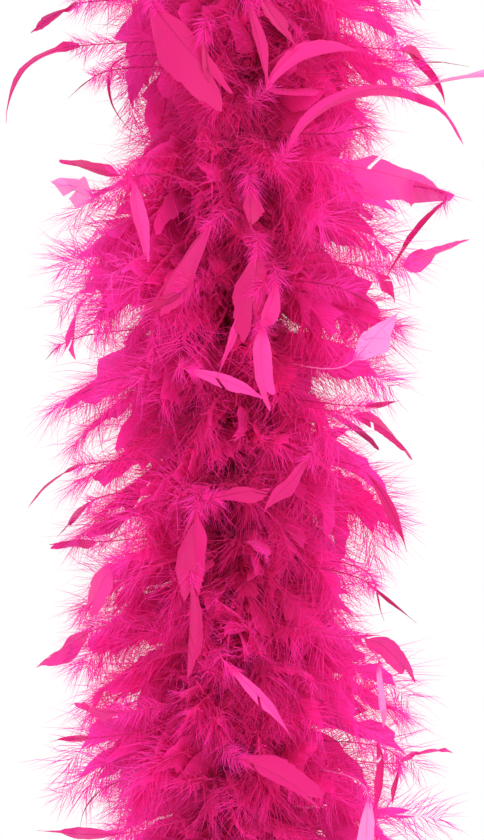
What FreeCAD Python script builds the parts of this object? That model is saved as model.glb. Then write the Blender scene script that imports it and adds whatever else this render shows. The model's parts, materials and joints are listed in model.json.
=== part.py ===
"""Chandelle feather boa, hanging straight down from its bound top end.

The boa is a twisted core cord with turkey-flat feathers tied on all the way round it by
a wrapped thread. The feathers' downy bases close up into a soft core round the cord, and
their flat upper vanes stand out of it and droop. The cord bends anywhere; here it is cut
into equal segments, each hinged to the one above, with the hinge axes turned by a quarter
turn from one joint to the next.

Frame: millimetres, +Z up. The origin is the middle of the top whipping, where a hand, a
clip or a stitch holds the boa. The boa runs down -Z.
"""
import FreeCAD, Part
import math
import os

from FreeCAD import Placement, Rotation, Vector

# Driving dimensions
SEGMENT_COUNT = 12
SEGMENT_PITCH = 150.0  # the feathered length is 12 of these, 1.8 m
CORD_RADIUS = 2.0
WHIPPING_RADIUS = 3.2
WHIPPING_LENGTH = 16.0
CORD_STUB = 4.0  # the cut cord end that stands out of each whipping
FIRST_HINGE_Z = -12.0

# Binding thread: short wraps round the cord
WRAP_COUNT = 6
WRAP_LENGTH = 3.0
WRAP_THICKNESS = 0.6
WRAP_CLEARANCE = 0.05

# Downy core: wedges of down round the cord, cut back at both ends so that the boa bends
TUFT_COUNT = 6
TUFT_INNER_RADIUS = 3.7
TUFT_OUTER_RADIUS = 28.0
TUFT_GAP_DEG = 1.0
TUFT_END_GAP = 2.0
TUFT_END_SLOPE_DEG = 33.0  # over half of the largest bend at a joint, 60 degrees

# Feathers: one in each slot round the cord, at a height of its own
FEATHER_COUNT = 24
FEATHER_HEIGHT_STEP = 5.0
FEATHER_ORDER = 7  # steps of height from one slot to the next, prime to the count
FIRST_FEATHER_DROP = 8.0
QUILL_START_RADIUS = 2.9
VANE_THICKNESS = 0.8
FEATHER_KINDS = (  # length and droop below level, repeated round the cord
    (135.0, 28.0),
    (130.0, 40.0),
    (125.0, 52.0),
)
# Half outline of a feather: share of its length, half width
FEATHER_OUTLINE = (
    (0.00, 0.8),
    (0.32, 1.0),
    (0.45, 3.6),
    (0.62, 6.6),
    (0.84, 7.6),
    (0.95, 6.0),
    (1.00, 2.6),
)


def hinge_z(segment):
    """Height of the joint at the top of a segment, counted from 0."""
    return FIRST_HINGE_Z - segment * SEGMENT_PITCH


def rod(radius, low, high):
    """Round rod along the boa's axis between two heights."""
    return Part.makeCylinder(radius, high - low, Vector(0, 0, low))


def sleeve(inner, outer, low, high):
    return rod(outer, low, high).cut(rod(inner, low, high))


def cord_piece(top, bottom):
    """A length of core cord whose lower end is a half ball on the joint below it."""
    return rod(CORD_RADIUS, bottom, top).fuse(Part.makeSphere(CORD_RADIUS, Vector(0, 0, bottom)))


def core_cord(segment):
    clear_of_ball = CORD_RADIUS + 0.5
    top = hinge_z(segment) - clear_of_ball
    if segment < SEGMENT_COUNT - 1:
        return cord_piece(top, hinge_z(segment + 1))
    return rod(CORD_RADIUS, bottom_whipping_z() - WHIPPING_LENGTH / 2 - CORD_STUB, top)


def bottom_whipping_z():
    """Middle of the bottom whipping, just below the last tufts."""
    return hinge_z(SEGMENT_COUNT) - WHIPPING_LENGTH / 2 + CORD_STUB


def whipping(middle):
    inner = CORD_RADIUS + WRAP_CLEARANCE
    return sleeve(inner, WHIPPING_RADIUS, middle - WHIPPING_LENGTH / 2, middle + WHIPPING_LENGTH / 2)


def binding_thread(segment):
    """Wraps of thread at even heights between two joints."""
    inner = CORD_RADIUS + WRAP_CLEARANCE
    spacing = SEGMENT_PITCH / WRAP_COUNT
    wraps = []
    for index in range(WRAP_COUNT):
        middle = hinge_z(segment) - (index + 0.5) * spacing
        wraps.append(
            sleeve(inner, inner + WRAP_THICKNESS, middle - WRAP_LENGTH / 2, middle + WRAP_LENGTH / 2)
        )
    return Part.makeCompound(wraps)


def solid_from_corners(faces):
    shell = Part.makeShell([Part.Face(Part.makePolygon([*face, face[0]])) for face in faces])
    return Part.makeSolid(shell)


def down_tuft(segment, index):
    """One wedge of down, from the cord out to the downy core's surface."""
    middle = hinge_z(segment) - SEGMENT_PITCH / 2
    step = 360.0 / TUFT_COUNT
    corners = []
    for angle in (index * step + TUFT_GAP_DEG / 2, (index + 1) * step - TUFT_GAP_DEG / 2):
        side = []
        for radius, sign in (
            (TUFT_INNER_RADIUS, 1),
            (TUFT_OUTER_RADIUS, 1),
            (TUFT_OUTER_RADIUS, -1),
            (TUFT_INNER_RADIUS, -1),
        ):
            end_gap = TUFT_END_GAP + radius * math.tan(math.radians(TUFT_END_SLOPE_DEG))
            x = radius * math.cos(math.radians(angle))
            y = radius * math.sin(math.radians(angle))
            side.append(Vector(x, y, middle + sign * (SEGMENT_PITCH / 2 - end_gap)))
        corners.append(side)
    near, far = corners
    faces = [near, far[::-1]]
    for index in range(4):
        after = (index + 1) % 4
        faces.append([near[after], near[index], far[index], far[after]])
    return solid_from_corners(faces)


def down_tufts(segment):
    return Part.makeCompound([down_tuft(segment, index) for index in range(TUFT_COUNT)])


def feather(length, droop_deg, angle_deg, height):
    """A flat feather with its quill at the cord, drooping outwards."""
    right = [Vector(share * length, half, 0) for share, half in FEATHER_OUTLINE]
    left = [Vector(point.x, -point.y, 0) for point in reversed(right)]
    outline = Part.Face(Part.makePolygon([*right, *left, right[0]]))
    vane = outline.extrude(Vector(0, 0, VANE_THICKNESS))
    vane.translate(Vector(0, 0, -VANE_THICKNESS / 2))
    droop = Placement(Vector(QUILL_START_RADIUS, 0, height), Rotation(Vector(0, 1, 0), droop_deg))
    turn = Placement(Vector(0, 0, 0), Rotation(Vector(0, 0, 1), angle_deg))
    vane.Placement = turn.multiply(droop).multiply(vane.Placement)
    return vane


def feathers(segment):
    """One feather in each slot; neighbouring slots stand at well separated heights."""
    placed = []
    for slot in range(FEATHER_COUNT):
        length, droop = FEATHER_KINDS[slot % len(FEATHER_KINDS)]
        step = (slot * FEATHER_ORDER) % FEATHER_COUNT
        height = hinge_z(segment) - FIRST_FEATHER_DROP - step * FEATHER_HEIGHT_STEP
        placed.append(feather(length, droop, slot * 360.0 / FEATHER_COUNT, height))
    return Part.makeCompound(placed)


def build():
    nodes = {
        "top_whipping": whipping(0.0),
        "core_cord_top": cord_piece(WHIPPING_LENGTH / 2 + CORD_STUB, hinge_z(0)),
    }
    for segment in range(SEGMENT_COUNT):
        number = f"{segment + 1:02d}"
        nodes[f"core_cord_{number}"] = core_cord(segment)
        nodes[f"binding_thread_{number}"] = binding_thread(segment)
        nodes[f"down_tufts_{number}"] = down_tufts(segment)
        nodes[f"feathers_{number}"] = feathers(segment)
    nodes["bottom_whipping"] = whipping(bottom_whipping_z())
    return nodes


os.makedirs("parts", exist_ok=True)
for name, shape in build().items():
    shape.exportStep(f"parts/{name}.step")
    for solid in shape.Solids:
        if not solid.isValid() or solid.Volume <= 0:
            raise ValueError(f"{name} has a bad solid")
    print(name, len(shape.Solids), "solids", round(shape.Volume / 1000, 2), "cm3")
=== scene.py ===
import json
import math
from collections import namedtuple

import bpy
import numpy as np
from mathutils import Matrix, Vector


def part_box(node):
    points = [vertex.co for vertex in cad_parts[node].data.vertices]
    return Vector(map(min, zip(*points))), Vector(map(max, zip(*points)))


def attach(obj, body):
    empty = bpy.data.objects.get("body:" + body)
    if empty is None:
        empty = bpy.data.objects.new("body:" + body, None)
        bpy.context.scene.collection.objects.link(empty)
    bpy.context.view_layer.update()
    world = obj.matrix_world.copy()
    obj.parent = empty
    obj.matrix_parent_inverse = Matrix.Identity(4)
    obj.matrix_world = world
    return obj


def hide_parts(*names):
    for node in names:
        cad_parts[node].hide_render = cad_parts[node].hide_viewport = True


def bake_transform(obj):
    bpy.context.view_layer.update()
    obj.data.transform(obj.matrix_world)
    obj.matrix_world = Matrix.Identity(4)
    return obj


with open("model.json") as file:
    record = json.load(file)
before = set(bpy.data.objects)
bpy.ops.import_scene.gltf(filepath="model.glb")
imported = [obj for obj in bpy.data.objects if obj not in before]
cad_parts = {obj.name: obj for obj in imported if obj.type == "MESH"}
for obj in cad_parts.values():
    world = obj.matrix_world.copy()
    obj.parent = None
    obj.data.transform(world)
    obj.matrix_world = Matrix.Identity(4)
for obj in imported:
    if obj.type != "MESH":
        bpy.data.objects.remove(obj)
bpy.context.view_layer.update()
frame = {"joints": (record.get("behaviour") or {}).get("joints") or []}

MM = 0.001  # lengths below are millimetres in the row frame; meshes are made in metres
rng = np.random.default_rng(20240)

HINGES = [joint["pos_m"][2] / MM for joint in frame["joints"]]
PITCH = HINGES[0] - HINGES[1]
CORD_END = HINGES[-1] - PITCH
SEGMENTS = [joint["child"] for joint in frame["joints"]]

UP = np.array([0.0, 0.0, 1.0])
TIE_BREAK = 1e-3  # keeps a frame defined where a shaft runs along the direction that it faces

SHAFT_SAMPLES = 10  # points along each quill
ROOT_RADIUS = 2.4  # where quills leave the cord
KINK_START = 0.7  # share of a quill at which a kink begins, and over which it turns
KINK_SHARE = 0.1


# ---------------------------------------------------------------- vectors
def unit(v):
    return v / np.maximum(np.linalg.norm(v, axis=-1, keepdims=True), 1e-9)


def directions(azimuth, lift):
    """Unit vectors for angles round the boa and above level, in radians."""
    flat = np.cos(lift)
    return np.stack([flat * np.cos(azimuth), flat * np.sin(azimuth), np.sin(lift)], axis=-1)


def rotated(v, axis, angle):
    """Vectors v turned about unit axes by angles."""
    c = np.cos(angle)[..., None]
    s = np.sin(angle)[..., None]
    along = np.sum(v * axis, axis=-1, keepdims=True)
    return v * c + np.cross(axis, v) * s + axis * along * (1 - c)


# ---------------------------------------------------------------- shafts
class Shafts:
    """The curved quills of a set of feathers, each with a frame along its length."""

    def __init__(self, points, roll, facing=None):
        self.points = points
        tangent = unit(np.gradient(points, axis=1))
        if facing is None:
            facing = UP + TIE_BREAK * points[:, :1] * [1, 1, 0]
        side = unit(np.cross(tangent, facing))
        self.tangent = tangent
        self.side = rotated(side, tangent, roll)
        self.normal = np.cross(self.side, tangent)

    def __len__(self):
        return len(self.points)

    def at(self, which, share):
        """Point and frame on shaft `which` at `share` of its length."""
        place = np.clip(share, 0, 1) * (self.points.shape[1] - 1)
        low = np.minimum(place.astype(int), self.points.shape[1] - 2)
        mix = (place - low)[..., None]
        found = []
        for values in (self.points, self.tangent, self.side, self.normal):
            found.append(values[which, low] * (1 - mix) + values[which, low + 1] * mix)
        return found[0], unit(found[1]), unit(found[2]), unit(found[3])


def grown_shafts(root_z, azimuth, length, lift_root, lift_tip, swing, roll, kink=0.0):
    """Quills that leave the cord at root_z and droop from lift_root to lift_tip, with a kink on the way."""
    share = np.linspace(0, 1, SHAFT_SAMPLES)[None, :]
    bent = np.clip((share - KINK_START) / KINK_SHARE, 0, 1) * np.reshape(kink, (-1, 1))
    lift = lift_root[:, None] + (lift_tip - lift_root)[:, None] * share**1.1 + bent
    turn = azimuth[:, None] + swing[:, None] * share**1.5
    step = directions(turn, lift) * (length / (SHAFT_SAMPLES - 1))[:, None, None]
    root = directions(azimuth, np.zeros_like(azimuth)) * ROOT_RADIUS
    root[:, 2] = root_z
    travel = np.concatenate([0 * step[:, :1], np.cumsum(step[:, 1:], axis=1)], axis=1)
    return Shafts(root[:, None, :] + travel, np.repeat(roll[:, None], SHAFT_SAMPLES, axis=1))


# ---------------------------------------------------------------- meshes
UV_MARGIN = 0.02


def mesh_object(name, verts, faces, uvs, material):
    """A mesh from vertices in millimetres, faces as equal-sided index arrays, and a UV for each vertex."""
    mesh = bpy.data.meshes.new(name)
    corners = np.concatenate([f.reshape(-1) for f in faces])
    totals = np.concatenate([np.full(len(f), f.shape[1]) for f in faces])
    mesh.vertices.add(len(verts))
    mesh.vertices.foreach_set("co", (verts * MM).astype(np.float32).ravel())
    mesh.loops.add(len(corners))
    mesh.loops.foreach_set("vertex_index", corners.astype(np.int32))
    mesh.polygons.add(len(totals))
    mesh.polygons.foreach_set("loop_start", (np.cumsum(totals) - totals).astype(np.int32))
    mesh.update(calc_edges=True)
    mesh.polygons.foreach_set("use_smooth", np.ones(len(totals), bool))
    layer = mesh.uv_layers.new(name="OFBake")
    layer.data.foreach_set("uv", uvs[corners].astype(np.float32).ravel())
    mesh.materials.append(material)
    mesh.validate()
    return in_scene(name, mesh)


def in_scene(name, data):
    """A new object in the scene's collection."""
    obj = bpy.data.objects.new(name, data)
    bpy.context.scene.collection.objects.link(obj)
    return obj


def inside(share):
    """Shares from 0 to 1 as UVs just inside their tile, clear of its edges."""
    return UV_MARGIN + (1 - 2 * UV_MARGIN) * share


def ribbons(centres, across, width, tint):
    """Flat strips that end in a point: centres (n, k, 3), unit across (n, 3), widths (n, k)."""
    n, k = centres.shape[:2]
    half = across[:, None] * width[:, :-1, None] / 2
    sides = np.stack([centres[:, :-1] - half, centres[:, :-1] + half], axis=2)
    verts = np.concatenate([sides.reshape(n, 2 * k - 2, 3), centres[:, -1:]], axis=1)
    base = (np.arange(n) * (2 * k - 1))[:, None]
    quads = np.concatenate([base + 2 * i + [0, 1, 3, 2] for i in range(k - 2)])
    tips = base + 2 * k - 4 + [0, 1, 2]
    along = np.append(np.repeat(np.linspace(0, 1, k)[:-1], 2), 1.0)
    uv = np.stack(np.broadcast_arrays(tint[:, None], along[None]), axis=-1)
    return verts.reshape(-1, 3), [quads, tips], inside(uv.reshape(-1, 2))


def gathered(parts):
    """Joins (verts, faces, uvs) parts into one."""
    verts, quads, tris, uvs, start = [], [], [], [], 0
    for part_verts, part_faces, part_uvs in parts:
        for f in part_faces:
            (quads if f.shape[1] == 4 else tris).append(f + start)
        verts.append(part_verts)
        uvs.append(part_uvs)
        start += len(part_verts)
    faces = [np.concatenate(group) for group in (quads, tris) if group]
    return np.concatenate(verts), faces, np.concatenate(uvs)


# ---------------------------------------------------------------- down
BARB_TAPER = ((0.0, 0.35, 0.7, 1.0), (0.75, 1.0, 0.7, 0.0))  # shares of a barb's length, and its widths
BARB_LEAN = 1.0  # radians between a barb and its shaft
BARB_CLUMPS = 8  # along one shaft: the barbs of a clump stray the same way
STRAND_RANGE = 0.25  # how much of the dye noise the barbs of one feather cover


def plume_outline(order):
    """Length of the down at each share of a plume, widest near its middle."""
    return 0.45 + 0.55 * np.sin(np.pi * (0.12 + 0.80 * order))


def down_barbs(shafts, per_feather, length, width, looseness, curl, steps, strand, first=0.0, last=1.0):
    """Downy barbs in two rows along each shaft from share `first` to `last`, `curl` wavy."""
    n = len(shafts) * per_feather
    which = np.repeat(np.arange(len(shafts)), per_feather)
    order = np.tile((np.arange(per_feather) + 0.5) / per_feather, len(shafts))
    order = np.clip(order + rng.normal(0, 0.3 / per_feather, n), 0, 1)
    point, tangent, side, normal = shafts.at(which, first + (last - first) * order)
    sign = np.where(np.arange(n) % 2, 1.0, -1.0)[:, None]
    clump_at = (order * (BARB_CLUMPS - 0.01)).astype(int)
    clump = rng.normal(0, 1, (len(shafts), BARB_CLUMPS))[which, clump_at]
    spread = (BARB_LEAN * (1 - 0.35 * order**3) + 0.16 * clump + rng.normal(0, 0.18, n))[:, None]
    out = unit(
        np.cos(spread) * tangent
        + np.sin(spread) * sign * side
        + looseness * (rng.normal(0, 1, (n, 1)) + 0.5 * clump[:, None]) * normal
    )
    # Barbs curve towards the tip, under the shaft and down
    bend = 0.25 * tangent - 0.10 * normal + rng.normal(0, 0.2, (n, 3)) - 0.08 * UP
    reach = (length[which] * plume_outline(order))[:, None, None]
    reach = reach * rng.uniform(0.65, 1.15, (n, 1, 1))
    t = np.linspace(0, 1, steps)[None, :, None]
    wave = np.sin(rng.uniform(0, 6.3, (n, 1, 1)) + rng.uniform(4, 8, (n, 1, 1)) * t) * t
    path = t * out[:, None] + t**2 * bend[:, None] + curl * wave * unit(rng.normal(0, 1, (n, 1, 3)))
    across = rotated(unit(np.cross(normal, out)), out, rng.normal(0, 0.6, n))
    widths = width * rng.uniform(0.7, 1.2, (n, 1)) * np.interp(np.linspace(0, 1, steps), *BARB_TAPER)
    tint = (strand[which] + rng.uniform(0, STRAND_RANGE, n)) % 1.0
    return ribbons(point[:, None] + reach * path, across, widths, tint)


# ---------------------------------------------------------------- sheets of barbs
def barb_sheets(shafts, first, reach, rake, fold, droop, wave, uv_of, splits, columns=3, last=1.0):
    """Barbs that lie together as a sheet on both sides of each shaft.

    `reach` (n, 2, rows) is the barbs' length on each side between shares `first` and `last` of the shaft;
    `rake` is their angle to the shaft, `fold` (n, 2) how far each side is folded away from flat,
    `droop` how far they curve away under it, `wave` how far they ripple, and `splits` how ragged their
    ends are and how many of them have parted.
    """
    n, _, rows = reach.shape
    along = np.tile(np.linspace(0, 1, rows), n)
    which = np.repeat(np.arange(n), rows)
    verts, faces, uvs = [], [], []
    point, tangent, side, normal = shafts.at(which, first[which] + (last - first[which]) * along)
    for index, sign in enumerate((-1.0, 1.0)):
        phase = rng.uniform(0, 2 * math.pi, n)[which] + along * rng.uniform(6, 12, n)[which]
        lean = rake[which] * (1 - along**3) + wave[which] * 0.6 * np.sin(phase)
        tilt = fold[which, index] + wave[which] * np.sin(phase * 0.7 + 1.3)
        outward = side * (np.cos(tilt) * sign)[:, None] - normal * np.sin(tilt)[:, None]
        u = np.linspace(0, 1, columns + 1)[None, :, None]
        barb = np.cos(lean)[:, None] * tangent + np.sin(lean)[:, None] * outward
        bend = 0.16 * tangent - droop[which][:, None] * normal
        length = (reach[:, index] * rng.uniform(1 - 0.12 * splits, 1 + 0.12 * splits, (n, rows))).reshape(-1)
        grid = point[:, None] + length[:, None, None] * (u * barb[:, None] + u**2 * bend[:, None])
        row = np.arange(n * (rows - 1)) // (rows - 1) * rows + np.arange(n * (rows - 1)) % (rows - 1)
        row = row[rng.random(len(row)) > 0.04 * splits] * (columns + 1)
        for column in range(columns):
            a = row + column + index * n * rows * (columns + 1)
            quad = np.stack([a, a + 1, a + columns + 2, a + columns + 1], axis=1)
            faces.append(quad if sign > 0 else quad[:, ::-1])
        across = np.repeat(np.linspace(0, 1, columns + 1)[None], n * rows, axis=0)
        uv = uv_of(which[:, None], across, np.repeat(along[:, None], columns + 1, axis=1))
        verts.append(grid.reshape(-1, 3))
        uvs.append(np.stack(uv, axis=-1).reshape(-1, 2))
    return np.concatenate(verts), [np.concatenate(faces)], np.concatenate(uvs)


def down_sheets(shafts, half_width, strand, rows=15):
    """The matted middle of each plume's down: ragged, rippled sheets under the free barbs."""
    n = len(shafts)
    along = np.linspace(0, 1, rows)[None, None]
    reach = half_width[:, None, None] * plume_outline(along)
    reach = reach * rng.uniform(0.8, 1.1, (n, 2, rows))

    def uv_of(which, across, order):
        return inside((strand[which] + STRAND_RANGE * order) % 1.0), inside(across)

    return barb_sheets(
        shafts, first=np.full(n, 0.12), reach=reach, rake=np.full(n, 0.95),
        fold=rng.normal(0.15, 0.25, (n, 2)), droop=rng.uniform(0.0, 0.45, n),
        wave=rng.uniform(0.1, 0.3, n), uv_of=uv_of, splits=1.8, last=0.82,
    )


# ---------------------------------------------------------------- vanes
TINT_BINS = 8  # dye shades, the palest partly painted light shining through, side by side in U
# Outline of a vane: the shares of its length over which it widens and narrows, and how round its tip is
SHAPES = {
    "lens": (0.50, 0.50, 0.80),
    "blunt": (0.24, 0.11, 0.50),
    "wedge": (0.22, 0.80, 0.85),
}


def vane_sheets(shafts, first, half_width, shape, tint_bin, rake, fold, rows=22, columns=3):
    """The flat upper vane of each feather, from share `first` of its shaft.

    The sides of a vane differ: one is narrower, and one stops short so that the tip slants.
    """
    n = len(shafts)
    along = np.linspace(0, 1, rows)[None, None]
    widen, narrow, power = np.array([SHAPES[name] for name in shape]).T[:, :, None, None]
    broad_side = rng.integers(0, 2, n)[:, None] == [0, 1]
    breadth = np.where(broad_side, rng.uniform(1.0, 1.25, (n, 1)), rng.uniform(0.45, 1.0, (n, 1)))
    cut = np.where(rng.random((n, 1)) < 0.5, broad_side, ~broad_side) * rng.uniform(0, 0.22, (n, 1))
    swell = np.sin(0.5 * np.pi * np.clip((0.04 + along) / widen, 0, 1)) ** 0.8
    end = np.clip((1.02 - along - cut[:, :, None]) / narrow, 0, 1) ** power
    reach = half_width[:, None, None] * breadth[:, :, None] * swell * end / np.sin(rake)[:, None, None]

    def uv_of(which, across, order):
        return (tint_bin[which] + 0.1 + 0.8 * across) / TINT_BINS, inside(order)

    return barb_sheets(
        shafts, first=first, reach=reach, rake=rake, fold=fold, droop=rng.normal(0.0, 0.15, n),
        wave=rng.uniform(0.02, 0.14, n), uv_of=uv_of, splits=0.45, columns=columns,
    )


def quills(shafts, radius_root, radius_tip, tint_bin):
    """Three-sided tapering shafts."""
    n, k = len(shafts), shafts.points.shape[1]
    taper = np.linspace(radius_root, radius_tip, k)[None, :, None]
    rings = []
    for corner in range(3):
        angle = corner * 2 * math.pi / 3
        arm = math.cos(angle) * shafts.side + math.sin(angle) * shafts.normal
        rings.append(shafts.points + arm * taper)
    verts = np.stack(rings, axis=2).reshape(-1, 3)
    start = (np.arange(n)[:, None] * k + np.arange(k - 1)[None]).reshape(-1) * 3
    quads = []
    for corner in range(3):
        after = (corner + 1) % 3
        around = [start + corner, start + after, start + 3 + after, start + 3 + corner]
        quads.append(np.stack(around, axis=1))
    along = np.repeat(np.tile(np.linspace(0, 1, k), n), 3)
    u = (np.repeat(tint_bin, k * 3) + 0.5) / TINT_BINS
    return verts, [np.concatenate(quads)], np.stack([u, along], axis=-1)


# ---------------------------------------------------------------- materials
def new_material(name):
    """An empty node material, with its nodes and links."""
    material = bpy.data.materials.new(name)
    material.use_nodes = True
    nodes = material.node_tree.nodes
    nodes.clear()
    return material, nodes, material.node_tree.links


def math_node(nodes, links, operation, a, b=None):
    """The result of a Math node whose inputs are numbers or sockets."""
    node = nodes.new("ShaderNodeMath")
    node.operation = operation
    for index, value in enumerate((a, b)):
        if value is None:
            continue
        if isinstance(value, (int, float)):
            node.inputs[index].default_value = value
        else:
            links.new(value, node.inputs[index])
    return node.outputs[0]


def ramp(nodes, links, factor, stops):
    """Colour from (position, colour) stops."""
    node = nodes.new("ShaderNodeValToRGB")
    elements = node.color_ramp.elements
    for index, (position, colour) in enumerate(stops):
        element = elements[index] if index < 2 else elements.new(position)
        element.position = position
        element.color = (*colour, 1)
    links.new(factor, node.inputs[0])
    return node.outputs[0]


def scaled(nodes, links, colour, factor):
    """Colour times a number."""
    node = nodes.new("ShaderNodeVectorMath")
    node.operation = "SCALE"
    links.new(colour, node.inputs[0])
    links.new(factor, node.inputs["Scale"])
    return node.outputs[0]


def feather_shader(nodes, links, colour, glow, share, roughness, normal=None):
    """Soft, slightly sheeny keratin that lets a share of the light through."""
    front = nodes.new("ShaderNodeBsdfPrincipled")
    links.new(colour, front.inputs["Base Color"])
    links.new(roughness, front.inputs["Roughness"])
    front.inputs["Specular IOR Level"].default_value = 0.25
    front.inputs["Sheen Weight"].default_value = 0.15
    front.inputs["Sheen Tint"].default_value = (1.0, 0.45, 0.75, 1)
    through = nodes.new("ShaderNodeBsdfTranslucent")
    links.new(glow, through.inputs["Color"])
    if normal:
        links.new(normal, front.inputs["Normal"])
    mix = nodes.new("ShaderNodeMixShader")
    mix.inputs[0].default_value = share
    links.new(front.outputs[0], mix.inputs[1])
    links.new(through.outputs[0], mix.inputs[2])
    output = nodes.new("ShaderNodeOutputMaterial")
    links.new(mix.outputs[0], output.inputs[0])


def noise_1d(nodes, links, position, scale, detail=0.0):
    """Noise along one coordinate: streaks that run across it."""
    node = nodes.new("ShaderNodeTexNoise")
    node.noise_dimensions = "1D"
    node.inputs["Scale"].default_value = scale
    node.inputs["Detail"].default_value = detail
    links.new(position, node.inputs["W"])
    return node.outputs[0]


def affine(nodes, links, value, gain, offset):
    """value * gain + offset."""
    out = math_node(nodes, links, "MULTIPLY_ADD", value, gain)
    out.node.inputs[2].default_value = offset
    return out


def feather_uv(nodes, links):
    """U and V of the piece."""
    uv = nodes.new("ShaderNodeUVMap")
    uv.uv_map = "OFBake"
    split = nodes.new("ShaderNodeSeparateXYZ")
    links.new(uv.outputs[0], split.inputs[0])
    return split.outputs[0], split.outputs[1]


# Colours of the down from the cord outwards, of the light through it, and how much passes through; both
# colours darken towards the cord as painted shade of the deep down
DOWN_THROUGH = 0.48
DOWN_COLOUR_AND_SHADE = [
    (0.0, (0.42, 0.009, 0.08)),
    (0.25, (0.68, 0.012, 0.18)),
    (0.6, (0.86, 0.015, 0.32)),
    (1.0, (0.98, 0.036, 0.48)),
]
DOWN_GLOW_AND_SHADE = [
    (0.0, (0.45, 0.015, 0.10)),
    (0.25, (0.84, 0.030, 0.30)),
    (0.6, (0.95, 0.060, 0.50)),
    (1.0, (1.0, 0.13, 0.68)),
]


def down_material():
    """U runs over the barbs, each a little lighter or darker; V runs outwards from the cord, and the down is
    darker near the cord as painted shade.
    """
    material, nodes, links = new_material("dyed_down_and_painted_shade")
    strand, outward = feather_uv(nodes, links)
    fine = affine(nodes, links, noise_1d(nodes, links, strand, 420.0), 0.55, 0.72)
    broad = affine(nodes, links, noise_1d(nodes, links, strand, 9.0), 0.5, 0.75)
    tint = math_node(nodes, links, "MULTIPLY", fine, broad)
    colour = ramp(nodes, links, outward, DOWN_COLOUR_AND_SHADE)
    glow = ramp(nodes, links, outward, DOWN_GLOW_AND_SHADE)
    base, through = scaled(nodes, links, colour, tint), scaled(nodes, links, glow, tint)
    feather_shader(nodes, links, base, through, DOWN_THROUGH, affine(nodes, links, fine, 0.2, 0.45))
    return material


# The same for the vanes, from the deepest dye to the palest; the palest is partly painted light, the white
# behind shining through thin vanes
VANE_THROUGH = 0.4
VANE_COLOUR_AND_PAINTED_BACKLIGHT = [
    (0.0, (0.42, 0.004, 0.09)),
    (0.55, (0.68, 0.009, 0.19)),
    (0.85, (0.93, 0.035, 0.35)),
    (1.0, (1.0, 0.28, 0.68)),
]
VANE_GLOW = [
    (0.0, (0.60, 0.012, 0.17)),
    (0.55, (0.86, 0.035, 0.31)),
    (0.85, (1.0, 0.12, 0.55)),
    (1.0, (1.0, 0.42, 0.78)),
]
# Darker at the shaft and at the edge
VANE_RIB = [(0.0, (0.72,) * 3), (0.14, (1.0,) * 3), (0.86, (1.0,) * 3), (1.0, (0.8,) * 3)]


def vane_material():
    """U holds the dye shades, the palest partly painted light shining through, each from the shaft to the
    vane's edge; V runs along the vane.
    """
    material, nodes, links = new_material("dyed_vane_and_painted_backlight")
    shade, along = feather_uv(nodes, links)
    place = math_node(nodes, links, "MULTIPLY", shade, float(TINT_BINS))
    across = math_node(nodes, links, "FRACT", place)
    tint = math_node(nodes, links, "DIVIDE", math_node(nodes, links, "FLOOR", place), TINT_BINS - 1.0)
    barbs = noise_1d(nodes, links, along, 90.0, 2.0)
    streak = affine(nodes, links, barbs, 0.24, 0.88)
    base = ramp(nodes, links, tint, VANE_COLOUR_AND_PAINTED_BACKLIGHT)
    glow = ramp(nodes, links, tint, VANE_GLOW)
    rib = math_node(nodes, links, "MULTIPLY", ramp(nodes, links, across, VANE_RIB), streak)
    bump = nodes.new("ShaderNodeBump")
    bump.inputs["Strength"].default_value = 0.25
    bump.inputs["Distance"].default_value = 0.0003
    links.new(barbs, bump.inputs["Height"])
    base, through = scaled(nodes, links, base, rib), scaled(nodes, links, glow, rib)
    roughness = affine(nodes, links, barbs, 0.2, 0.34)
    feather_shader(nodes, links, base, through, VANE_THROUGH, roughness, bump.outputs[0])
    return material


def spun_material(name, dark, light, lay):
    """Dyed cotton yarn: fibres that run at a slant round the strand, `lay` slants over its length."""
    material, nodes, links = new_material(name)
    around, along = feather_uv(nodes, links)
    slant = math_node(nodes, links, "ADD", math_node(nodes, links, "MULTIPLY", along, lay), around)
    fibres = noise_1d(nodes, links, slant, 9.0, 3.0)
    colour = ramp(nodes, links, fibres, [(0.3, dark), (0.7, light)])
    bump = nodes.new("ShaderNodeBump")
    bump.inputs["Strength"].default_value = 0.4
    bump.inputs["Distance"].default_value = 0.0002
    links.new(fibres, bump.inputs["Height"])
    surface = nodes.new("ShaderNodeBsdfPrincipled")
    links.new(colour, surface.inputs["Base Color"])
    links.new(affine(nodes, links, fibres, 0.2, 0.62), surface.inputs["Roughness"])
    links.new(bump.outputs[0], surface.inputs["Normal"])
    output = nodes.new("ShaderNodeOutputMaterial")
    links.new(surface.outputs[0], output.inputs[0])
    return material


DOWN = down_material()
VANE = vane_material()
CORD = spun_material("dyed_cord", (0.45, 0.010, 0.14), (0.72, 0.025, 0.26), 40.0)
THREAD = spun_material("dyed_thread", (0.50, 0.010, 0.16), (0.80, 0.030, 0.30), 60.0)


# ---------------------------------------------------------------- the feathers
CLUMP_STEP = 8.5  # one clump of plumes for each of these lengths of cord
CLUMP_SIZE = 7  # plumes
TUFT_STEP = 1.25  # the same for the short tufts, and for the flats
FLAT_STEP = 5.0
TOP_MARGIN = 6.0  # how far above the first joint feathers still leave the cord
DARK_RADIUS = 12.0  # distances from the cord at which the down is darkest, with painted shade, and palest
PALE_RADIUS = 80.0
Growth = namedtuple("Growth", "length root tip")  # lengths, and degrees above level at each end
PLUME_GROWTH = Growth(length=(68, 92), root=(-5, 45), tip=(-100, -30))
TUFT_GROWTH = Growth(length=(20, 60), root=(-50, 60), tip=(-80, 60))
FLAT_GROWTH = Growth(length=(70, 106), root=(-25, 40), tip=(-85, -10))
FRONT_LOSS = 0.54  # how much shorter plumes are at the front and at the back than at the sides
BACK_LOSS = 0.25
GOLDEN = math.pi * (3 - math.sqrt(5))  # turn from one feather to the next, so that no two line up


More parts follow.
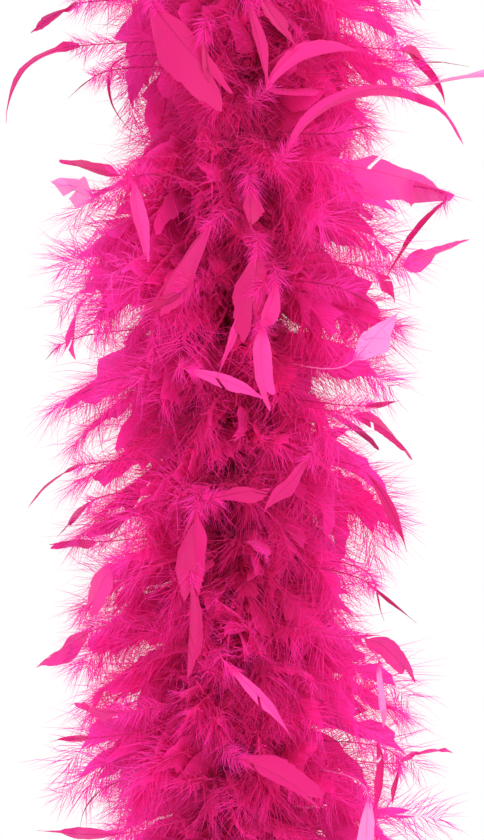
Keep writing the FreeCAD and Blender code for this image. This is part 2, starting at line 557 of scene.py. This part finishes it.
def boa_groups():
    """(name, top, bottom, body above, body below) of each stretch that bends as one piece."""
    middles = [h - PITCH / 2 for h in HINGES]
    tops = [HINGES[0] + TOP_MARGIN, *middles]
    bottoms = [*middles, CORD_END]
    above = ["top_end", *SEGMENTS]
    below = [*SEGMENTS, None]
    for index, (top, bottom, a, b) in enumerate(zip(tops, bottoms, above, below)):
        yield f"{index + 1:02d}", top, bottom, a, b


def follow(obj, group):
    """obj is left unparented between the two bodies of its group, its transform applied, or rides the last
    one.
    """
    _, top, bottom, a, b = group
    if b:
        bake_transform(obj)
    else:
        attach(obj, a)


def splayed(azimuth):
    """Length of a plume as a share of one at the sides: the boa has lain flat, so it is thinner."""
    facing = np.sin(azimuth)
    return 1 - np.where(facing < 0, FRONT_LOSS, BACK_LOSS) * facing**2


def laid_roll(azimuth, spread):
    """Roll of each feather about its shaft: those at the sides face front and back, as laid flat."""
    return math.pi / 2 * np.cos(azimuth) ** 2 + rng.normal(0, spread, len(azimuth))


def plumes(top, bottom):
    """Clumps of downy plumes that leave the cord close together and droop the same way."""
    clumps = int(round((top - bottom) / CLUMP_STEP))
    n = clumps * CLUMP_SIZE
    which = np.repeat(np.arange(clumps), CLUMP_SIZE)
    clump_z = top - (np.arange(clumps) + rng.uniform(0.2, 0.8, clumps)) * (top - bottom) / clumps
    clump_turn = (np.arange(clumps) + round(top / CLUMP_STEP)) * GOLDEN + rng.normal(0, 0.2, clumps)
    z = clump_z[which] + rng.normal(0, 11.0, n)
    azimuth = clump_turn[which] + rng.normal(0, 0.45, n)
    size = rng.uniform(0.88, 1.14, clumps)[which]
    length = rng.uniform(*PLUME_GROWTH.length, n) * size * splayed(azimuth)
    lift_root = np.radians(rng.uniform(*PLUME_GROWTH.root, clumps)[which] + rng.normal(0, 16, n))
    lift_tip = np.radians(rng.uniform(*PLUME_GROWTH.tip, clumps)[which] + rng.normal(0, 20, n))
    swing = rng.normal(0, 0.25, clumps)[which] + rng.normal(0, 0.15, n)
    return grown_shafts(z, azimuth, length, lift_root, lift_tip, swing, laid_roll(azimuth, 0.55))


def core_tufts(top, bottom):
    """Short curly down close to the cord."""
    n = int((top - bottom) / TUFT_STEP)
    return grown_shafts(
        rng.uniform(bottom, top, n), rng.uniform(0, 2 * math.pi, n), rng.uniform(*TUFT_GROWTH.length, n),
        np.radians(rng.uniform(*TUFT_GROWTH.root, n)), np.radians(rng.uniform(*TUFT_GROWTH.tip, n)),
        swing=rng.normal(0, 0.8, n), roll=rng.normal(0, 1.2, n),
    )


MAT_RADIUS = 13.0
MAT_LUMP = 1.3  # height of each wave of lumps
# Lumps in the matted core: waves round it, radians a millimetre along it, phase
MAT_WAVES = ((2, 0.21, 0.0), (3, -0.13, 1.1), (5, 0.34, 2.3), (7, -0.52, 0.4))


def matted_core(top, bottom, sides=28, step=2.5):
    """Down pressed together round the cord: a lumpy sleeve, coloured darkest by the down's ramp as painted
    shade between the strands.
    """
    rows = int((top - bottom) / step) + 1
    heights = np.linspace(top, bottom, rows)
    turns = np.linspace(0, 2 * math.pi, sides + 1)
    z, angle = np.meshgrid(heights, turns, indexing="ij")
    lumps = sum(np.sin(m * angle + k * z + phase) for m, k, phase in MAT_WAVES)
    radius = MAT_RADIUS + MAT_LUMP * lumps
    verts = np.stack([radius * np.cos(angle), radius * np.sin(angle), z], axis=-1).reshape(-1, 3)
    start = (np.arange(rows - 1)[:, None] * (sides + 1) + np.arange(sides)[None]).reshape(-1, 1)
    uv = np.stack([inside(angle / (2 * math.pi)), np.zeros(angle.shape)], axis=-1)
    return verts, [start + [0, sides + 1, sides + 2, 1]], uv.reshape(-1, 2)


# ---------------------------------------------------------------- flats listed one by one
# The front of the boa over VIEW_HEIGHT below VIEW_TOP has its own arrangement of flats, placed
# to follow the photograph.
# x and drop are where a vane comes out of the down, in mm right of the cord and below VIEW_TOP.
# heading is its direction there in degrees anticlockwise from +X, and bend how far it turns by
# its tip. fold is how far its lower side is folded over, in degrees; shade is its dye bin, the palest
# partly painted light shining through.
VIEW_TOP = -702.0
VIEW_HEIGHT = 420.0
VIEW_MARGIN = 15.0  # feathers that start this far above VIEW_TOP hang into view
FRONT_ARC = 0.45  # the sine of the azimuth up to which flats are listed one by one
LENS = 100.0  # the camera's focal length
SENSOR = 36.0  # and the height of its picture
EYE = LENS * VIEW_HEIGHT / SENSOR  # distance from the camera to the cord

Flat = namedtuple("Flat", "x drop heading bend length width shape shade fold", defaults=(0,))
HAND_FLATS = [
    # top left
    Flat(-77, 23, 178, 85, 60, 11, "lens", 4),
    Flat(-80, 1, 200, 20, 28, 11, "lens", 3),
    Flat(-72, 37, 215, 5, 18, 1, "lens", 2),
    Flat(-66, 34, 262, 50, 36, 6, "wedge", 2, 130),
    Flat(-46, 0, 305, 10, 50, 26, "blunt", 3),
    Flat(-19, 14, 272, 15, 38, 5, "lens", 2),
    Flat(2, -4, 284, 5, 50, 6, "lens", 4),
    Flat(8, -4, 302, 0, 34, 14, "wedge", 3),
    Flat(10, 48, 52, -45, 52, 12, "lens", 5, 90),
    # top right
    Flat(90, 43, 12, -5, 32, 20, "blunt", 7),
    Flat(77, 25, -10, -75, 38, 11, "wedge", 4, 110),
    Flat(85, 31, 0, 0, 27, 1, "lens", 1),
    Flat(50, 66, 15, -10, 16, 1, "lens", 1),
    # the long arc and what hangs from it
    Flat(20, 84, 72, -122, 112, 8, "blunt", 5, 65),
    Flat(48, 82, -8, -12, 44, 24, "blunt", 6),
    Flat(104, 98, 225, 15, 50, 7, "lens", 3, 110),
    Flat(79, 134, 28, -15, 30, 14, "blunt", 6),
    Flat(66, 136, -40, -25, 18, 9, "wedge", 4),
    Flat(52, 145, -28, 0, 19, 1, "lens", 1),
    # upper left
    Flat(-60, 88, 165, 5, 26, 7, "blunt", 4, 65),
    Flat(-72, 100, 158, 0, 24, 17, "wedge", 7),
    Flat(-58, 84, 288, -10, 42, 9, "blunt", 6),
    Flat(-52, 88, 12, -80, 48, 1, "lens", 3),
    # the two folded ones in the middle
    Flat(-14, 110, 228, 15, 42, 24, "blunt", 4, 45),
    Flat(-28, 144, 222, -15, 24, 10, "lens", 2),
    Flat(4, 92, 272, 0, 22, 12, "wedge", 3),
    Flat(8, 123, 268, -10, 32, 18, "blunt", 3),
    Flat(11, 142, 232, 30, 52, 5, "lens", 5),
    Flat(17, 139, 265, -25, 24, 10, "lens", 5),
    Flat(10, 160, 268, 5, 38, 10, "blunt", 6),
    Flat(-31, 184, -12, -18, 48, 8, "lens", 6),
    # left side
    Flat(-79, 149, 240, 45, 30, 8, "lens", 6),
    Flat(-90, 172, 220, 0, 11, 1, "lens", 1),
    Flat(-69, 191, 207, 0, 17, 1, "lens", 1),
    Flat(-79, 232, 200, 30, 34, 8, "lens", 4),
    Flat(-75, 250, 225, 0, 24, 7, "lens", 3),
    Flat(-71, 271, 176, 0, 22, 8, "blunt", 4, 90),
    Flat(-64, 280, 238, 15, 24, 14, "blunt", 6),
    # right side
    Flat(54, 182, 48, 0, 34, 16, "wedge", 7),
    Flat(60, 203, 2, 0, 18, 4, "lens", 3),
    Flat(53, 207, -12, -45, 36, 12, "blunt", 4, 65),
    Flat(61, 235, -48, -30, 44, 7, "lens", 3),
    Flat(61, 290, -38, 0, 32, 2, "lens", 2),
    Flat(66, 290, -78, 0, 20, 3, "lens", 3),
    Flat(52, 318, -5, -30, 38, 11, "blunt", 5),
    Flat(68, 328, -78, -10, 28, 10, "blunt", 7),
    # lower middle
    Flat(36, 226, 228, 30, 38, 11, "lens", 4),
    Flat(-24, 252, 272, -5, 34, 20, "blunt", 4, 65),
    Flat(-16, 250, 18, -15, 28, 12, "lens", 3),
    Flat(-26, 285, 272, -10, 52, 14, "lens", 3, 90),
    Flat(-9, 331, -42, -12, 50, 8, "lens", 6),
    Flat(-5, 378, -18, -20, 46, 15, "blunt", 4),
    # bottom left
    Flat(-72, 314, 205, 30, 34, 12, "lens", 5),
    Flat(-60, 356, 180, 0, 22, 8, "blunt", 5),
    Flat(-73, 369, 180, 5, 22, 4, "lens", 4),
    Flat(-67, 393, 210, 50, 24, 1, "lens", 2),
    Flat(-60, 417, 182, -5, 40, 7, "lens", 5),
    # bottom right
    Flat(77, 382, 30, -30, 28, 7, "lens", 5),
    Flat(66, 366, -62, -65, 40, 7, "lens", 4, 110),
    Flat(79, 381, 262, -10, 22, 4, "lens", 3),
    Flat(63, 396, 268, 0, 32, 14, "blunt", 7),
]
# Plumes that swell the outline at the sides, in the same terms
Plume = namedtuple("Plume", "x drop heading bend length")
HAND_PLUMES = [
    Plume(-34, 96, 205, 35, 56),
    Plume(-36, 176, 195, 20, 62),
    Plume(-38, 190, 200, 25, 54),
    Plume(-38, 250, 190, 30, 44),
    Plume(-36, 282, 192, 28, 48),
    Plume(-34, 304, 200, 24, 50),
    Plume(-38, 330, 195, 20, 46),
    Plume(-36, 128, 205, 40, 50),
    Plume(-30, 212, 200, 30, 56),
    Plume(-30, 226, 205, 30, 52),
    Plume(40, 30, 5, -30, 40),
    Plume(38, 150, -10, -25, 40),
    Plume(38, 245, -5, -40, 40),
    Plume(38, 345, 0, -30, 42),
]
DOWN_FRONT = 60.0  # how far the down reaches towards -Y, and past which the listed vanes lie
DOWN_SIDE = 84.0
VANE_V = 10.0  # degrees by which each side of an unfolded vane falls back
HIDDEN_SAMPLES = 7  # points of a shaft inside the down, and along its vane
VANE_SAMPLES = 16
QUILL_RISE = 8.0  # how far above where it shows a quill leaves the cord
QUILL_LEAD = 16.0  # how far back from there it is already on its heading
SWELL_DEPTH = -12.0  # y of the plumes that swell the outline
QUILL_ROOT = 0.42  # radius of the quills of the flats at the cord and at the tip
QUILL_TIP = 0.08


def surface_depth(x):
    """y of the boa's front surface, at x from its middle."""
    return -np.sqrt(np.maximum(1 - (x / DOWN_SIDE) ** 2, 0.01)) * DOWN_FRONT


def hand_shafts(rows, depth_of):
    """Shafts from the cord to where each vane shows, then on along its own bend."""
    x, drop, heading, bend, length = np.array([row[:5] for row in rows], float).T
    share = np.linspace(0, 1, VANE_SAMPLES)[None]
    past_kink = np.clip((share - rng.uniform(0.35, 0.8, (len(rows), 1))) / 0.08, 0, 1)
    kink = past_kink * rng.normal(0, 8, (len(rows), 1))
    turn = np.radians(heading[:, None] + bend[:, None] * share + kink)
    step = length[:, None] / (VANE_SAMPLES - 1)
    seen_x = x[:, None] + np.cumsum(np.cos(turn) * step, axis=1)
    seen_z = VIEW_HEIGHT / 2 - drop[:, None] + np.cumsum(np.sin(turn) * step, axis=1)
    depth = depth_of(seen_x)
    near = (EYE + depth) / EYE  # a nearer feather is drawn in, so that it is seen in its place
    middle = VIEW_TOP - VIEW_HEIGHT / 2
    vane = np.stack([seen_x * near, depth, middle + seen_z * near], axis=-1)
    start = vane[:, :1] * [0, 0, 1] + [0, 0, QUILL_RISE]
    lead = vane[:, :1] - QUILL_LEAD * unit(vane[:, 1:2] - vane[:, :1])
    t = np.linspace(0, 1, HIDDEN_SAMPLES + 1)[None, :-1, None]
    hidden = (1 - t) ** 2 * start + 2 * t * (1 - t) * lead + t**2 * vane[:, :1]
    points = np.concatenate([hidden, vane], axis=1)
    facing = unit(points * [1, 1, 0] + [0, -TIE_BREAK, 0])
    twist = np.linspace(0, 1, points.shape[1])[None] * rng.normal(0, 0.6, (len(rows), 1))
    return Shafts(points, twist + rng.normal(0, 0.3, (len(rows), 1)), facing)


def rows_between(rows, top, bottom):
    """The listed rows whose vanes start between two heights."""
    return [row for row in rows if bottom <= VIEW_TOP - row.drop < top]


def hand_vanes(rows, shafts):
    """Meshes of the listed flats: vanes and quills."""
    n = len(rows)
    fold = np.radians([[VANE_V, VANE_V + row.fold] for row in rows])
    bins = np.array([row.shade for row in rows])
    vanes = vane_sheets(
        shafts, first=np.full(n, HIDDEN_SAMPLES / (HIDDEN_SAMPLES + VANE_SAMPLES - 1)),
        half_width=np.array([row.width / 2 for row in rows]), shape=[row.shape for row in rows],
        tint_bin=bins, rake=np.full(n, 0.75), fold=fold, rows=24, columns=4,
    )
    return [vanes, quills(shafts, QUILL_ROOT, QUILL_TIP, bins)]


# ---------------------------------------------------------------- flats that grow at random
def flats(top, bottom):
    """Feathers whose flat vanes stand out of the down."""
    n = int(round((top - bottom) / FLAT_STEP))
    z = top - (np.arange(n) + rng.uniform(0.1, 0.9, n)) * (top - bottom) / n
    azimuth = np.arange(n) * GOLDEN + rng.uniform(0, 6) + rng.normal(0, 0.3, n)
    seen = (z < VIEW_TOP + VIEW_MARGIN) & (z > VIEW_TOP - VIEW_HEIGHT)
    by_hand = seen & (np.sin(azimuth) < FRONT_ARC)
    z, azimuth = z[~by_hand], azimuth[~by_hand]
    n = len(z)
    return grown_shafts(
        z, azimuth, rng.uniform(*FLAT_GROWTH.length, n), np.radians(rng.uniform(*FLAT_GROWTH.root, n)),
        np.radians(rng.uniform(*FLAT_GROWTH.tip, n)), swing=rng.normal(0, 0.45, n),
        roll=laid_roll(azimuth, 0.8), kink=rng.normal(0, 0.7, n) * (rng.random(n) < 0.5),
    )


def random_vanes(shafts):
    """Meshes of the flats that grow at random: some narrow, some blunt, some folded over."""
    n = len(shafts)
    bins = rng.integers(0, TINT_BINS, n)
    fold = rng.normal(0.1, 0.3, (n, 2))
    fold[:, 1] += np.where(rng.random(n) < 0.35, rng.uniform(0.9, 2.4, n), 0.0)
    vanes = vane_sheets(
        shafts, first=rng.uniform(0.5, 0.68, n), half_width=3.0 + 7.0 * rng.random(n) ** 1.6,
        shape=rng.choice(list(SHAPES), n), tint_bin=bins, rake=rng.uniform(0.55, 0.85, n), fold=fold,
    )
    return [vanes, quills(shafts, QUILL_ROOT, QUILL_TIP, bins)]


# ---------------------------------------------------------------- cord and thread
CORD_RADIUS = 2.0
CORD_LAY = 14.0  # length of one turn of the cord's two plies
THREAD_RADIUS = 0.3
WRAPS = 6  # short wraps of binding thread between two joints
WRAP_TURNS = 5
WRAP_START = 0.44  # share of each space at which a wrap begins, and over which it runs
WRAP_SHARE = 0.12
WHIPPING_RADIUS = 3.2


def tube(path, radius, sides=6):
    """A round tube along points (k, 3)."""
    k = len(path)
    tangent = unit(np.gradient(path, axis=0))
    side = unit(np.cross(tangent, [0.3, 0.2, 1.0]))
    normal = np.cross(side, tangent)
    angle = np.linspace(0, 2 * math.pi, sides, endpoint=False)[None, :, None]
    rings = path[:, None] + radius * (np.cos(angle) * side[:, None] + np.sin(angle) * normal[:, None])
    row = (np.arange(k - 1) * sides)[:, None]
    after = [(c + 1) % sides for c in range(sides)]
    quads = [row + [c, after[c], sides + after[c], sides + c] for c in range(sides)]
    caps = [(np.arange(sides)[None, ::-1])[:, [0, i, i + 1]] for i in range(1, sides - 1)]
    caps += [cap[:, ::-1] + (k - 1) * sides for cap in caps]
    around = np.tile(inside(np.linspace(0.0, 1.0, sides)), k)
    along = np.repeat(np.linspace(0.0, 1.0, k), sides)
    faces = [np.concatenate(quads), np.concatenate(caps)]
    return rings.reshape(-1, 3), faces, np.stack([around, along], axis=-1)


def helix(z, turn, radius):
    """Points at heights z, turned by `turn` round the boa's middle."""
    return np.stack([radius * np.cos(turn), radius * np.sin(turn), z], axis=-1)


def twisted_cord(top, bottom):
    """The core cord's two plies."""
    z = np.linspace(top, bottom, int((top - bottom) / 1.5) + 1)
    turn = -2 * math.pi * z / CORD_LAY
    return [tube(helix(z, turn + start, CORD_RADIUS / 2), CORD_RADIUS / 2, 8) for start in (0.0, math.pi)]


def binding_turn(z):
    """Angle of the thread at height z: a tight wrap in each space, one slow turn between them."""
    spaces = (HINGES[0] - z) / (PITCH / WRAPS)
    place = spaces % 1.0
    wrap = np.clip((place - WRAP_START) / WRAP_SHARE, 0, 1)
    return 2 * math.pi * (spaces + WRAP_TURNS * (np.floor(spaces) + wrap))


def binding(top, bottom):
    """The thread that ties the quills to the cord."""
    z = np.linspace(min(top, HINGES[0]), bottom, int((top - bottom) * 8))
    return [tube(helix(z, binding_turn(z), CORD_RADIUS + THREAD_RADIUS), THREAD_RADIUS, 4)]


def whipping(node):
    """Close turns of thread over the length of the CAD whipping."""
    (_, _, low), (_, _, high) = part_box(node)
    thread = (WHIPPING_RADIUS - CORD_RADIUS) / 2
    z = np.arange(high / MM - thread, low / MM + thread, -thread / 8)
    return [tube(helix(z, math.pi * z / thread, CORD_RADIUS + thread), thread, 6)]


# ---------------------------------------------------------------- the pieces
def outer_down(group):
    """The long plumes."""
    _, top, bottom, _, _ = group
    long = plumes(top, bottom)
    strand = rng.random(len(long))
    parts = [
        down_barbs(
            long, per_feather=200, length=rng.uniform(19, 28, len(long)), width=0.34, looseness=0.28,
            curl=0.12, steps=4, strand=strand, first=0.1,
        ),
        down_sheets(long, rng.uniform(9, 14, len(long)), strand),
    ]
    swells = rows_between(HAND_PLUMES, top, bottom)
    if swells:
        swell = hand_shafts(swells, lambda x: np.full(x.shape, SWELL_DEPTH))
        parts.append(lower_down(swell, length=22.0, per_feather=500, first=0.2, last=1.0))
        parts.append(down_sheets(swell, np.full(len(swell), 14.0), rng.random(len(swell))))
    return parts


def lower_down(shafts, length, per_feather, first, last):
    """Fine down along part of each shaft."""
    n = len(shafts)
    return down_barbs(
        shafts, per_feather=per_feather, length=np.full(n, length), width=0.3, looseness=0.35,
        curl=0.14, steps=4, strand=rng.random(n), first=first, last=last,
    )


def inner_down(group):
    """Short curly down over the matted core."""
    _, top, bottom, _, _ = group
    core = core_tufts(top, bottom)
    strand = rng.random(len(core))
    curls = down_barbs(
        core, per_feather=85, length=np.full(len(core), 13.0), width=0.45, looseness=0.6,
        curl=0.42, steps=6, strand=strand,
    )
    sheets = down_sheets(core, rng.uniform(9, 14, len(core)), strand, rows=8)
    return [matted_core(top, bottom), curls, sheets]


def painted_shade_by_radius(parts):
    """The parts with V set by distance from the cord, which the down's ramps turn into painted shade near
    the cord.
    """
    done = []
    for verts, faces, uvs in parts:
        radius = np.hypot(verts[:, 0], verts[:, 1])
        outward = np.clip((radius - DARK_RADIUS) / (PALE_RADIUS - DARK_RADIUS), 0, 1)
        done.append((verts, faces, np.stack([uvs[:, 0], inside(outward)], axis=-1)))
    return done


def stiff_vanes(group):
    """(vanes and quills, the down at their feet) of a group."""
    _, top, bottom, _, _ = group
    grown = flats(top, bottom)
    vanes = random_vanes(grown)
    feet = [lower_down(grown, length=14.0, per_feather=120, first=0.2, last=0.62)]
    by_hand = rows_between(HAND_FLATS, top, bottom)
    if by_hand:
        placed = hand_shafts(by_hand, surface_depth)
        vanes += hand_vanes(by_hand, placed)
        feet.append(lower_down(placed, length=10.0, per_feather=160, first=0.1, last=0.36))
    return vanes, feet


def piece(name, parts, material, group, nodes):
    """One visible piece of a group, standing for CAD nodes."""
    obj = mesh_object(name, *gathered(parts), material)
    follow(obj, group)
    if nodes:
        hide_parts(*nodes)


groups = list(boa_groups())
CORD_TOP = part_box("core_cord_top")[1][2] / MM
CORD_STUB_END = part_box(f"core_cord_{len(SEGMENTS):02d}")[0][2] / MM
for group in groups:
    number, top, bottom, _, below = group
    first, last = group is groups[0], below is None
    cord_top = CORD_TOP if first else top
    cord_bottom = CORD_STUB_END if last else bottom
    own = [] if last else [number]
    vanes, feet = stiff_vanes(group)
    fluff = painted_shade_by_radius(outer_down(group))
    piece(f"flats_{number}", vanes, VANE, group, [f"feathers_{n}" for n in own])
    piece(f"plumes_{number}", fluff, DOWN, group, [])
    curls = painted_shade_by_radius(inner_down(group) + feet)
    piece(f"down_{number}", curls, DOWN, group, [f"down_tufts_{n}" for n in own])
    cords = [f"core_cord_{n}" for n in own] + (["core_cord_top"] if first else [])
    piece(f"cord_{number}", twisted_cord(cord_top, cord_bottom), CORD, group, cords)
    threads = [f"binding_thread_{n}" for n in own]
    piece(f"thread_{number}", binding(top, bottom), THREAD, group, threads)

for node, body in (("top_whipping", "top_end"), ("bottom_whipping", SEGMENTS[-1])):
    wound = mesh_object(f"wound_{node}", *gathered(whipping(node)), THREAD)
    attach(wound, body)
    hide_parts(node)


# ---------------------------------------------------------------- stage, light, camera
STUDIO_MIDDLE = (0, 0, -0.9)  # metres, as are the lights and the floor
SOFT_BOX_SIZE = 1.2
FLOOR_HEIGHT = -1.98
FLOOR_RADIUS = 3.0
FLOOR_SIDES = 64


def white_world():
    """White paper all round, which is also the fill light."""
    world = bpy.data.worlds.new("studio")
    bpy.context.scene.world = world
    world.use_nodes = True
    nodes, links = world.node_tree.nodes, world.node_tree.links
    nodes.clear()
    paper = nodes.new("ShaderNodeBackground")
    paper.inputs[0].default_value = (1, 1, 1, 1)
    paper.inputs[1].default_value = 1.0
    output = nodes.new("ShaderNodeOutputWorld")
    links.new(paper.outputs[0], output.inputs[0])


def soft_box(name, location, power):
    """A square area light aimed at the middle of the boa."""
    light = bpy.data.lights.new(name, "AREA")
    light.size = SOFT_BOX_SIZE
    light.energy = power
    obj = in_scene(name, light)
    obj.location = location
    direction = np.array(STUDIO_MIDDLE) - np.array(obj.location)
    yaw = math.atan2(-direction[0], direction[1])
    pitch = math.atan2(direction[2], math.hypot(direction[0], direction[1]))
    obj.rotation_euler = (math.pi / 2 + pitch, 0, yaw)


def camera():
    """Level with the middle of the stretch that the photograph shows, and square to it."""
    data = bpy.data.cameras.new("camera")
    data.lens = LENS
    data.sensor_width = SENSOR
    obj = in_scene("camera", data)
    obj.location = (0, -EYE * MM, (VIEW_TOP - VIEW_HEIGHT / 2) * MM)
    obj.rotation_euler = (math.pi / 2, 0, 0)
    bpy.context.scene.camera = obj


def floor():
    """A pale round floor below the hanging end."""
    mesh = bpy.data.meshes.new("floor")
    turns = [i * 2 * math.pi / FLOOR_SIDES for i in range(FLOOR_SIDES)]
    ring = [(FLOOR_RADIUS * math.cos(turn), FLOOR_RADIUS * math.sin(turn), FLOOR_HEIGHT) for turn in turns]
    mesh.from_pydata(ring, [], [list(range(FLOOR_SIDES))])
    material, nodes, links = new_material("pale_floor")
    surface = nodes.new("ShaderNodeBsdfPrincipled")
    surface.inputs["Base Color"].default_value = (0.8, 0.8, 0.8, 1)
    output = nodes.new("ShaderNodeOutputMaterial")
    links.new(surface.outputs[0], output.inputs[0])
    mesh.materials.append(material)
    in_scene("floor", mesh)


white_world()
soft_box("key", (1.1, -1.5, -0.2), 27.0)
soft_box("left_fill", (-1.3, -1.2, -0.7), 10.0)
floor()
camera()
bpy.context.scene.view_settings.view_transform = "Standard"
